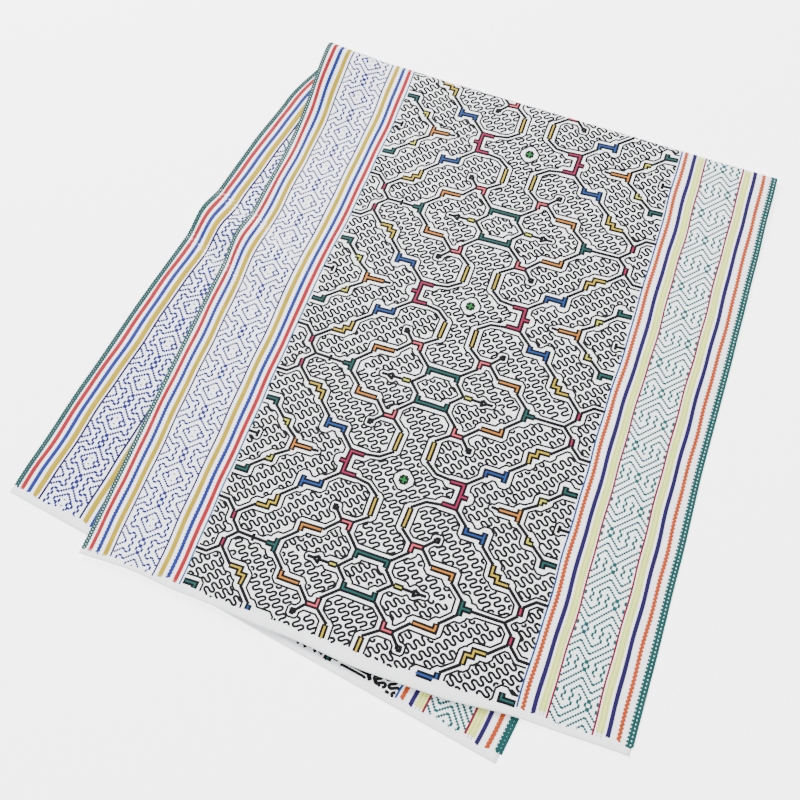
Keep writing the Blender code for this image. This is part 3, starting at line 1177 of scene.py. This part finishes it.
BLUE_BAND = FretBand("blue_fret_stitching", FRET_BLUE, DIAMOND_FRET, -1.087, 0.01915, 0.2435 / 14, 1.377,
                     ((0, 14),), 6.05)
TEAL_BAND = FretBand("teal_fret_stitching", FRET_TEAL, KEY_FRET, 1.042, 0.01735, 0.458 / 26, 1.202,
                     ((3, 9), (-6, 8)), 5.55)


class Stitch(Enum):
    """Kinds of border stitch."""
    SLANTED = "slanted"
    ZIGZAG = "zigzag"
    CROSSED = "crossed"
    DOTTED = "dotted"
    LINE = "line"


class Stripe(NamedTuple):
    """One stitched stripe of a border, over a flat ground of thread."""
    thread: ThreadFinish
    kind: Stitch
    u: float
    half_width: float
    pitch: float
    strand_half_width: float = 0.00054
    ground: float = 0.0


STRIPES = (
    Stripe(RED, Stitch.SLANTED, -1.3154, 0.0100, 0.0092, 0.00062, 0.0092),
    Stripe(ROYAL, Stitch.ZIGZAG, -1.2767, 0.0095, 0.0170, 0.00110, 0.0080),
    Stripe(YELLOW, Stitch.SLANTED, -1.2360, 0.0122, 0.0092, 0.00062, 0.0115),
    Stripe(NAVY, Stitch.LINE, -1.2080, 0.0052, 0.0125),
    Stripe(NAVY, Stitch.LINE, -0.9670, 0.0052, 0.0125),
    Stripe(YELLOW, Stitch.SLANTED, -0.9330, 0.0120, 0.0092, 0.00062, 0.0112),
    Stripe(ROYAL, Stitch.ZIGZAG, -0.8925, 0.0098, 0.0170, 0.00110, 0.0085),
    Stripe(RED, Stitch.SLANTED, -0.8540, 0.0108, 0.0092, 0.00062, 0.0100),
    Stripe(LIGHT_BLUE, Stitch.LINE, -0.8260, 0.0048, 0.0125),
    Stripe(FIELD_BLUE, Stitch.LINE, 0.8080, 0.0050, 0.0125),
    Stripe(ORANGE, Stitch.ZIGZAG, 0.8346, 0.0095, 0.0180, 0.00125, 0.0058),
    Stripe(NAVY, Stitch.CROSSED, 0.8810, 0.0090, 0.0180, 0.00105, 0.0065),
    Stripe(PALE_YELLOW, Stitch.DOTTED, 0.9170, 0.0085, 0.0105, 0.00080, 0.0175),
    Stripe(CRIMSON, Stitch.LINE, 0.9425, 0.0052, 0.0125),
    Stripe(CRIMSON, Stitch.LINE, 1.1417, 0.0052, 0.0125),
    Stripe(PALE_YELLOW, Stitch.DOTTED, 1.1680, 0.0085, 0.0105, 0.00080, 0.0170),
    Stripe(NAVY, Stitch.CROSSED, 1.2050, 0.0085, 0.0180, 0.00105, 0.0062),
    Stripe(ORANGE, Stitch.ZIGZAG, 1.2520, 0.0092, 0.0180, 0.00125, 0.0056),
)


@dataclass(frozen=True)
class Borders:
    """Stitched stripes along both sides, and the sewn edges."""

    start_v: float = -3.60
    end_v: float = 2.95
    chain_pitch: float = 0.031
    chain_u: float = -1.3500
    chain_swing: float = 0.0095
    chain_half_width: float = 0.00105
    rim_u: float = 1.3165
    rim_half_width: float = 0.0015
    inner_line_u: float = 1.2995
    inner_line_half_width: float = 0.0014
    tooth_pitch: float = 0.0180
    tooth_reach: float = 0.030
    tooth_slant: float = 0.004
    tooth_half_width: float = 0.00135

    def stripes(self) -> StitchWork:
        """All stripes between the field and the edges."""
        threads = tuple(dict.fromkeys(stripe.thread for stripe in STRIPES)) + (PALE_GROUND,)
        work = StitchWork("stripe_stitching", threads)
        for stripe in STRIPES:
            thread = threads.index(stripe.thread)
            if stripe.ground:
                ends = np.array([(stripe.u, self.start_v), (stripe.u, self.end_v)])
                points, _ = beaded(ends, 0.040)
                ground = threads.index(PALE_GROUND) if stripe.kind is Stitch.DOTTED else thread
                work.add(wander(points), stripe.ground * REPEAT, 0.00015, ground)
            self.add_strands(work, stripe, thread)
        return work

    def add_strands(self, work: StitchWork, stripe: Stripe, thread: int) -> None:
        """Add the strands of one stripe.

        Args:
            work: piece of stitching.
            stripe: the stripe.
            thread: number of the stripe's thread colour.
        """
        if stripe.kind is Stitch.LINE:
            ends = np.array([(stripe.u, self.start_v), (stripe.u, self.end_v)])
            points, middle = beaded(ends, stripe.pitch)
            half = stripe.half_width * REPEAT
            work.add(wander(points), np.where(middle, half, 0.78 * half), np.where(middle, 0.00042, 0.00024), thread)
            return
        number = np.arange(int((self.end_v - self.start_v) / stripe.pitch))
        left, right = stripe.u - stripe.half_width, stripe.u + stripe.half_width
        if stripe.kind is Stitch.DOTTED:
            for u in (left, right):
                self.add_legs(work, stripe, thread, number, u - 0.0016, u + 0.0016, 0.0, 0.0)
            return
        lead = 0.82 if stripe.kind is Stitch.SLANTED else 0.5
        self.add_legs(work, stripe, thread, number, left, right, 0.0, lead)
        self.add_legs(work, stripe, thread, number, right, left, lead, 1.0)
        if stripe.kind is Stitch.CROSSED:
            self.add_legs(work, stripe, thread, number, right, left, 0.0, lead)
            self.add_legs(work, stripe, thread, number, left, right, lead, 1.0)

    def add_legs(self, work: StitchWork, stripe: Stripe, thread: int, number: np.ndarray, from_u: float,
                 to_u: float, start: float, end: float) -> None:
        """Add one straight leg for each stitch of a stripe.

        Args:
            work: piece of stitching.
            stripe: the stripe.
            thread: number of the stripe's thread colour.
            number: numbers of the stitches.
            from_u: where each leg starts across the pattern.
            to_u: where each leg ends across the pattern.
            start: where each leg starts along its stitch, from 0 to 1.
            end: where each leg ends along its stitch, from 0 to 1.
        """
        points = np.empty((2 * len(number), 2))
        points[0::2, 0], points[1::2, 0] = from_u, to_u
        points[0::2, 1] = self.end_v - (number + start) * stripe.pitch
        points[1::2, 1] = self.end_v - (number + end) * stripe.pitch
        rise = 0.00052 if end > start else 0.00036
        work.add(wander(points), stripe.strand_half_width, rise, thread, strand=np.repeat(number, 2))

    def chain_edge(self) -> StitchWork:
        """Twisted double cord along the left edge."""
        work = StitchWork("chain_edge_stitching", (CHAIN_TEAL,))
        v = np.arange(self.start_v, self.end_v, self.chain_pitch / 10.0)
        for phase in (0.0, math.pi):
            turn = 2.0 * math.pi * v / self.chain_pitch + phase
            u = self.chain_u + self.chain_swing * np.sin(turn)
            rise = 0.0007 + 0.0003 * np.cos(turn)
            work.add(np.stack([u, v], axis=1), self.chain_half_width, rise)
        return work

    def comb_edge(self) -> StitchWork:
        """Blanket stitch along the right edge."""
        work = StitchWork("comb_edge_stitching", (EDGE_TEAL,))
        lines = ((self.rim_u, self.rim_half_width), (self.inner_line_u, self.inner_line_half_width))
        for u, half_width in lines:
            ends = np.array([(u, self.start_v), (u, self.end_v)])
            points, middle = beaded(ends, self.tooth_pitch)
            work.add(points, np.where(middle, half_width, 0.85 * half_width), np.where(middle, 0.0007, 0.0005))
        for v in np.arange(self.start_v, self.end_v, self.tooth_pitch):
            tooth = np.array([(self.rim_u, v), (self.rim_u - self.tooth_reach, v - self.tooth_slant)])
            work.add(tooth, self.tooth_half_width, 0.0006)
        return work


@dataclass(frozen=True)
class Studio:
    """Plain pale floor, soft light and the camera."""

    floor_colour: tuple[float, float, float] = (0.94, 0.94, 0.94)
    floor_glow: float = 2.2
    sky: float = 2.2
    lamp_power: float = 150.0
    right: tuple[float, float, float] = (0.93384387, 0.34659167, -0.08837328)
    up: tuple[float, float, float] = (-0.28154951, 0.86467234, 0.41601878)
    forward: tuple[float, float, float] = (-0.22060258, 0.36361513, -0.90505168)
    eye: tuple[float, float, float] = (0.97709501, -3.4928574, 4.68349545)
    lens: float = 46.8
    cross_lift: float = 0.0033

    def build(self, cloth: FoldedCloth) -> None:
        """Make the floor, the lights and the camera.

        Args:
            cloth: the folded cloth, which the camera's place is measured from.
        """
        self.floor()
        self.lights()
        self.camera(cloth)

    def floor(self) -> None:
        """Wide pale floor."""
        mesh = bpy.data.meshes.new("floor")
        reach = 30.0
        corners = [(-reach, -reach, 0.0), (reach, -reach, 0.0), (reach, reach, 0.0), (-reach, reach, 0.0)]
        mesh.from_pydata(corners, [], [(0, 1, 2, 3)])
        material = bpy.data.materials.new("pale_floor")
        material.use_nodes = True
        shader = material.node_tree.nodes["Principled BSDF"]
        shader.inputs["Base Color"].default_value = (*self.floor_colour, 1.0)
        shader.inputs["Roughness"].default_value = 0.9
        shader.inputs["Emission Color"].default_value = (1.0, 1.0, 1.0, 1.0)
        shader.inputs["Emission Strength"].default_value = self.floor_glow
        mesh.materials.append(material)
        plane = bpy.data.objects.new("floor", mesh)
        bpy.context.scene.collection.objects.link(plane)

    def lights(self) -> None:
        """Even sky light and one large soft lamp from the back left."""
        world = bpy.data.worlds.new("pale_room")
        world.use_nodes = True
        world.node_tree.nodes["Background"].inputs["Color"].default_value = (1.0, 1.0, 1.0, 1.0)
        world.node_tree.nodes["Background"].inputs["Strength"].default_value = self.sky
        bpy.context.scene.world = world
        lamp = bpy.data.lights.new("soft_lamp", "AREA")
        lamp.shape = "SQUARE"
        lamp.size = 1.6
        lamp.energy = self.lamp_power
        holder = bpy.data.objects.new("soft_lamp", lamp)
        holder.location = (-1.4, 1.5, 2.0)
        holder.rotation_euler = Vector((1.4, -1.5, -2.0)).to_track_quat("-Z", "Y").to_euler()
        bpy.context.scene.collection.objects.link(holder)

    def camera(self, cloth: FoldedCloth) -> None:
        """Camera at the photograph's viewing angle."""
        data = bpy.data.cameras.new("camera")
        data.lens = self.lens
        data.sensor_width = 36.0
        data.clip_end = 50.0
        camera = bpy.data.objects.new("camera", data)
        origin = np.array([CENTRE_ACROSS, CROSS_ROW * REPEAT, self.cross_lift]) - cloth.middle
        eye = origin + np.array(self.eye) * REPEAT
        turn = Matrix((self.right, self.up, tuple(-value for value in self.forward))).transposed()
        camera.matrix_world = Matrix.Translation(Vector(eye.tolist())) @ turn.to_4x4()
        bpy.context.scene.collection.objects.link(camera)
        bpy.context.scene.camera = camera


def main() -> None:
    """Build the panel and its studio."""
    logging.basicConfig(level=logging.INFO, format="%(message)s")
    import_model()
    cloth = FoldedCloth()
    Studio().build(cloth)
    sheet = cloth.build("cotton_sheet", CottonFinish())
    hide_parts(NODE)
    LOG.info("cotton_sheet: %d faces", len(sheet.data.polygons))

    pattern = FieldPattern()
    borders = Borders()
    works = [
        pattern.network(), pattern.bars(), pattern.outlines(), pattern.meander(),
        BLUE_BAND.stitch(), TEAL_BAND.stitch(),
        borders.stripes(), borders.chain_edge(), borders.comb_edge(),
    ]
    sewn = []
    for part, spread in ((Part.TOP, 1.0), (Part.BACK, 1.25)):
        stretch = Stretch(part)
        sewn += [work.build(cloth, stretch, spread) for work in works]
    sewn = [piece for piece in sewn if piece]


if __name__ == "__main__":
    main()
